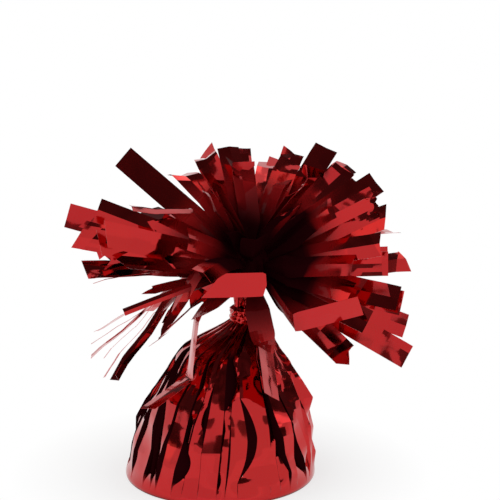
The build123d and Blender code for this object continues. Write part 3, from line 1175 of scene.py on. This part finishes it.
@dataclass
class NeckTie:
    """The tie: a narrow band of film wound round the neck.

    Args:
        film: The tie's material.
    """

    film: bpy.types.Material
    windings: int = 2
    around: int = 120
    section: int = 36
    band: float = 1.3 * MM
    height_share: float = 0.96
    bulge: float = 0.35 * MM
    crumple: float = 0.45 * MM
    cells: tuple[float, float] = (4.0, 2.0)
    field_middle: float = 20.0
    crease_angle: float = 30.0
    seed: int = 71

    def build(self) -> None:
        """Make the tie and set it on the weight."""
        low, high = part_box("neck_tie")
        middle = (low + high) / 2.0
        outer = (high.x - low.x) / 2.0
        inner = outer - self.band
        piece = Bench.grid("film_tie", self.around, self.section)
        around, loop = Bench.shares(piece)
        turn, angle = 2.0 * math.pi * around, 2.0 * math.pi * loop
        half = (high.z - low.z) / 2.0
        squared = np.maximum(np.abs(np.cos(angle)), np.abs(np.sin(angle)))
        out, lift = np.cos(angle) / squared, np.sin(angle) / squared
        height = lift * half * self.height_share
        outside = ease((out + 1.0) / 2.0)
        wound = np.abs(np.sin((lift + 1.0) / 2.0 * math.pi * self.windings + turn))
        cells_x = np.cos(turn) * self.cells[0] + self.field_middle
        cells_y = np.sin(turn) * self.cells[0] + lift * self.cells[1] + self.field_middle
        creases = CreaseField(self.seed)(cells_x, cells_y)
        radius = inner + (outer - inner) * outside + outside * (self.bulge * wound + self.crumple * creases)
        points = np.stack(
            [middle.x + radius * np.cos(turn), middle.y + radius * np.sin(turn), middle.z + height], axis=1
        )
        Bench.move(piece, points)
        Bench.weld(piece)
        Bench.finish(piece, 0.0, 0.0, self.crease_angle)
        piece.data.materials.append(self.film)
        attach(piece, Body.WEIGHT.value)
        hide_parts("neck_tie")
        LOG.info("tie")


@dataclass
class FringeRoots:
    """The crushed film between the tie and the strips: a fluted funnel that closes over the burst.

    Args:
        film: The roots' material.
        foot: The middle of the rounded foot that the burst sways on.
        centre: The middle of the burst.
    """

    film: bpy.types.Material
    foot: Vector
    centre: Vector
    outline: tuple[tuple[float, float], ...] = (
        (-3.0, 3.7),
        (-1.0, 3.9),
        (1.0, 4.1),
        (3.5, 4.7),
        (6.0, 5.6),
        (9.0, 6.8),
        (12.0, 7.3),
        (15.0, 6.2),
        (17.5, 3.6),
        (18.5, 0.0),
    )
    flutes: int = 11
    around: int = 180
    rows: int = 56
    flute_depth: float = 0.3
    flute_change: float = 0.4
    swirl: tuple[float, float] = (0.25, 0.15)
    swirl_rise: tuple[float, float] = (4.0, 3.0)
    crumple: float = 0.9
    crumple_radius: float = 7.0
    cells: float = 3.0
    cell_rise: float = 5.0
    field_middle: float = 20.0
    thickness: float = 0.08 * MM
    bend_reach: float = 2.5 * MM
    roots_shade_rise: tuple[float, float] = (-1.0, 8.0)
    crease_angle: float = 24.0
    seed: int = 41

    def build(self) -> None:
        """Make the roots."""
        piece = Bench.grid("film_roots", self.around, self.rows)
        around, up = Bench.shares(piece)
        heights, radii = (np.array(values) for values in zip(*self.outline))
        rise = heights[0] + (heights[-1] - heights[0]) * up
        draw = np.random.default_rng(self.seed)
        turn = 2.0 * math.pi * around
        bent = turn + self.swirl[0] * np.sin(2.0 * turn + rise / self.swirl_rise[0])
        bent = bent + self.swirl[1] * np.sin(3.0 * turn - rise / self.swirl_rise[1])
        saw = np.abs((bent * self.flutes / (2.0 * math.pi)) % 1.0 - 0.5) * 2.0
        change = self.flute_change * np.sin(5.0 * turn + draw.uniform(0.0, PHASE))
        deep = self.flute_depth * (1.0 - self.flute_change + change)
        cells_x = np.cos(turn) * self.cells + self.field_middle + rise / self.cell_rise
        cells_y = np.sin(turn) * self.cells + self.field_middle
        creases = CreaseField(self.seed)(cells_x, cells_y)
        radius = np.interp(rise, heights, radii)
        radius = radius * (1.0 - deep * saw) + self.crumple * creases * radius / self.crumple_radius
        share = np.clip(rise * MM / (self.centre.z - self.foot.z), 0.0, 1.0)
        points = np.stack(
            [
                self.foot.x + (self.centre.x - self.foot.x) * share + radius * MM * np.cos(turn),
                self.foot.y + radius * MM * np.sin(turn),
                self.foot.z + rise * MM,
            ],
            axis=1,
        )
        # Painted shade: the roots go from bright at the tie to nearly black inside the burst.
        low, high = self.roots_shade_rise
        Bench.mark(piece, ease((rise - low) / (high - low)), "POINT")
        Bench.move(piece, points)
        Bench.weld(piece)
        Bench.finish(piece, self.thickness, -1.0, self.crease_angle)
        piece.data.materials.append(self.film)
        reach = Vector((0.0, 0.0, self.bend_reach))
        below, above = self.foot - reach, self.foot + reach
        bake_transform(piece)
        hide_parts("fringe_roots")
        LOG.info("roots")


@dataclass(frozen=True)
class Lamp:
    """A soft lamp, by where it stands round the object, its size and its brightness."""

    name: str
    azimuth: float
    elevation: float
    distance: float
    width: float
    height: float
    power: float
    colour: Colour = (1.0, 1.0, 1.0)


@dataclass(frozen=True)
class Card:
    """A dark card that film mirrors, by the part of the sky that it covers, in degrees."""

    name: str
    azimuth: float
    half_width: float
    low: float
    high: float
    shade: float = 0.07


@dataclass
class Studio:
    """A white floor and sky, soft lamps, dark cards for the film to mirror, and the photograph's camera."""

    target: Vector = field(default_factory=lambda: Vector((0.0098, 0.0, 0.0756)))
    camera_elevation: float = 15.3
    camera_distance: float = 0.8
    lens: float = 180.0
    sensor: float = 36.0
    floor_size: float = 8.0
    floor_white: float = 0.85
    floor_glow: float = 0.7
    shadow_radius: float = 0.034
    shadow_fade: float = 0.035
    sky_light: float = 0.88
    card_distance: float = 1.6
    card_faces: tuple[int, int] = (24, 8)
    blotch_scale: float = 2.5
    blotch: tuple[float, float] = (0.2, 1.8)
    lamps: tuple[Lamp, ...] = (
        Lamp("key_lamp", -40.0, 60.0, 0.9, 0.26, 0.26, 0.26, (1.0, 0.80, 0.70)),
        Lamp("warm_lamp", -72.0, 14.0, 0.8, 0.24, 0.35, 0.10, (1.0, 0.78, 0.52)),
        Lamp("side_lamp", 66.0, 30.0, 0.8, 0.06, 0.5, 0.08),
        Lamp("back_lamp", 160.0, 52.0, 0.9, 0.2, 0.2, 0.16, (1.0, 0.85, 0.75)),
    )
    cards: tuple[Card, ...] = (
        Card("front_card", 0.0, 58.0, 33.0, 66.0),
        Card("front_left_card", -44.0, 8.0, 20.0, 33.0, 0.10),
        Card("front_middle_card", -10.0, 8.0, 22.0, 33.0, 0.20),
        Card("front_right_card", 38.0, 10.0, 23.0, 33.0, 0.15),
        Card("right_card", 96.0, 24.0, 6.0, 62.0),
        Card("back_right_card", 148.0, 18.0, 8.0, 66.0),
        Card("back_left_card", 208.0, 24.0, 16.0, 62.0),
        Card("left_card", 262.0, 20.0, 8.0, 58.0),
        Card("top_card", 180.0, 180.0, 66.0, 89.0),
    )

    def direction(self, azimuth: float, elevation: float) -> Vector:
        """Unit vector from the object towards a viewer at this azimuth and elevation."""
        turn, lift = math.radians(azimuth), math.radians(elevation)
        return Vector((math.sin(turn) * math.cos(lift), -math.cos(turn) * math.cos(lift), math.sin(lift)))

    def aim(self, thing: bpy.types.Object, azimuth: float, elevation: float, distance: float) -> None:
        """Stand a lamp or camera off the object and turn it to face it."""
        way = self.direction(azimuth, elevation)
        thing.location = self.target + way * distance
        thing.rotation_euler = (-way).to_track_quat("-Z", "Y").to_euler()

    def build(self) -> None:
        """Set up the whole studio."""
        self.add_camera()
        self.add_sky()
        for lamp in self.lamps:
            self.add_lamp(lamp)
        self.floor()
        for card in self.cards:
            self.card(card)
        view = bpy.context.scene.view_settings
        view.view_transform = "Standard"

    def add_camera(self) -> None:
        """Stand the camera where the photograph was taken from."""
        lens = bpy.data.cameras.new("camera")
        lens.lens = self.lens
        lens.sensor_width = self.sensor
        camera = bpy.data.objects.new("camera", lens)
        bpy.context.scene.collection.objects.link(camera)
        self.aim(camera, 0.0, self.camera_elevation, self.camera_distance)
        bpy.context.scene.camera = camera

    def add_sky(self) -> None:
        """White for what the camera sees, and a little less for the light and for what the film mirrors."""
        world = bpy.data.worlds.new("sky")
        bpy.context.scene.world = world
        shader = Shader(world)
        seen = shader.node("ShaderNodeLightPath", output="Is Camera Ray")
        seen = seen + shader.node("ShaderNodeLightPath", output="Is Transmission Ray")
        strength = seen.math("MINIMUM", 1.0) * (1.0 - self.sky_light) + self.sky_light
        white = shader.node("ShaderNodeBackground", inputs={"Color": WHITE, "Strength": strength})
        shader.node("ShaderNodeOutputWorld", inputs={"Surface": white})

    def add_lamp(self, lamp: Lamp) -> None:
        """Add one soft lamp."""
        light = bpy.data.lights.new(lamp.name, "AREA")
        light.shape = "RECTANGLE"
        light.size, light.size_y = lamp.width, lamp.height
        light.energy = lamp.power
        light.color = lamp.colour
        thing = bpy.data.objects.new(lamp.name, light)
        bpy.context.scene.collection.objects.link(thing)
        thing.visible_camera = False
        self.aim(thing, lamp.azimuth, lamp.elevation, lamp.distance)

    def floor(self) -> bpy.types.Object:
        """A white floor that keeps the object's shadow and runs into the white sky."""
        Bench.pick()
        bpy.ops.mesh.primitive_plane_add(size=self.floor_size)
        floor = bpy.context.object
        floor.name = "floor"
        made = bpy.data.materials.new("floor_white")
        shader = Shader(made)
        distance = shader.node("ShaderNodeVectorMath", {"operation": "LENGTH"}, {0: shader.place()}, "Value")
        faded = (distance - self.shadow_radius) * (1.0 / self.shadow_fade)
        faded = faded.math("MAXIMUM", 0.0).math("MINIMUM", 1.0)
        faded = faded * (1.0 - self.floor_glow) + self.floor_glow
        seen = shader.node("ShaderNodeLightPath", output="Is Camera Ray")
        seen = seen + shader.node("ShaderNodeLightPath", output="Is Glossy Ray")
        white = self.floor_white
        matt = shader.node("ShaderNodeBsdfDiffuse", inputs={"Color": (white, white, white, 1.0)})
        glow = shader.node("ShaderNodeEmission", inputs={"Color": WHITE})
        shader.surface(shader.node("ShaderNodeMixShader", inputs={0: faded * seen, 1: matt, 2: glow}))
        floor.data.materials.append(made)
        return floor

    def card(self, card: Card) -> bpy.types.Object:
        """One dark card, which only mirror rays see."""
        piece = Bench.grid(card.name, *self.card_faces)
        across, up = Bench.shares(piece)
        turn = np.radians(card.azimuth + card.half_width * (2.0 * across - 1.0))
        lift = np.radians(card.low + (card.high - card.low) * up)
        way = np.stack([np.sin(turn) * np.cos(lift), -np.cos(turn) * np.cos(lift), np.sin(lift)], axis=1)
        Bench.move(piece, np.array(self.target) + way * self.card_distance)
        made = bpy.data.materials.new(card.name)
        shader = Shader(made)
        blotch = shader.noise(shader.place(), self.blotch_scale, 1.0)
        low, high = (share * card.shade for share in self.blotch)
        shade = shader.mix(blotch, (low, low, low), (high, high, high))
        shader.surface(shader.node("ShaderNodeEmission", inputs={"Color": shade}))
        piece.data.materials.append(made)
        piece.visible_camera = False
        piece.visible_diffuse = False
        piece.visible_shadow = False
        piece.visible_transmission = False
        return piece


def joint_place(frame: dict, name: str) -> Vector:
    """Where a joint of the frame sits."""
    return next(Vector(joint["pos_m"]) for joint in frame["joints"] if joint["name"] == name)


def dress_core(frame: dict) -> None:
    """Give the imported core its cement."""
    core = frame["nodes"]["weight_core"]
    core.data.materials.clear()
    core.data.materials.append(CementFinish().material())


def main() -> None:
    """Build the studio and every piece around the frame."""
    logging.basicConfig(level=logging.INFO, format="%(name)s: %(message)s")
    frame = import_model()
    foot, centre = joint_place(frame, "neck_sway"), joint_place(frame, "top_flex")

    Studio().build()
    dress_core(frame)
    film = FilmFinish("red_film_finish").material()
    FilmWrap(film).build()
    NeckTie(FilmFinish("red_tie_finish", crimson=(0.42, 0.006, 0.012)).material()).build()
    FringeRoots(film, foot, centre).build()
    Fringe(centre, film).build()


if __name__ == "__main__":
    main()
